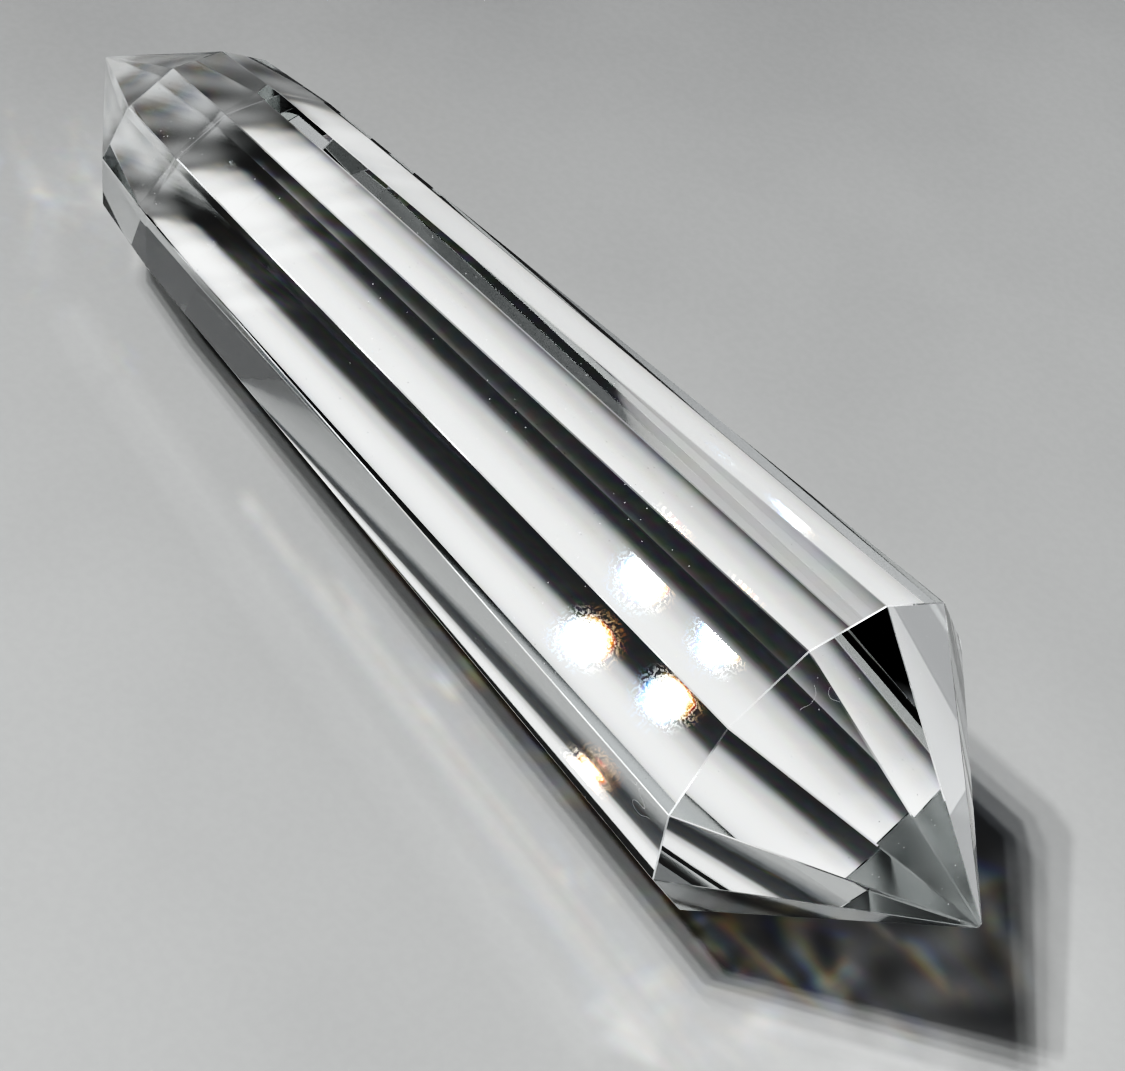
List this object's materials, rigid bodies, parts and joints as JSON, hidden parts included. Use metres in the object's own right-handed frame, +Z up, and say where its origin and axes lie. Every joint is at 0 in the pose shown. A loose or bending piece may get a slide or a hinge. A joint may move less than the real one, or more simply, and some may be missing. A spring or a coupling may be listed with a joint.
{
  "type": "vogel-cut quartz crystal",
  "caption": "Long clear wand of rock crystal, cut with flat facets along its tapering body and drawn to a broad point at the wide end and a slender point at the narrow end.",
  "frame": {"origin": "centre of the bounding box, at the height of the facet it rests on", "axes": "+X runs along the crystal towards its wide end, +Y across it and +Z up; the facet it rests on faces -Z"},
  "size_m": [0.1552, 0.0388, 0.0387],
  "materials": {
    "clear_quartz": "polished, clear and colourless, see-through by transmission with an index of refraction of 1.544"
  },
  "bodies": {
    "root": {"crystal": "clear_quartz"}
  },
  "joints": []
}
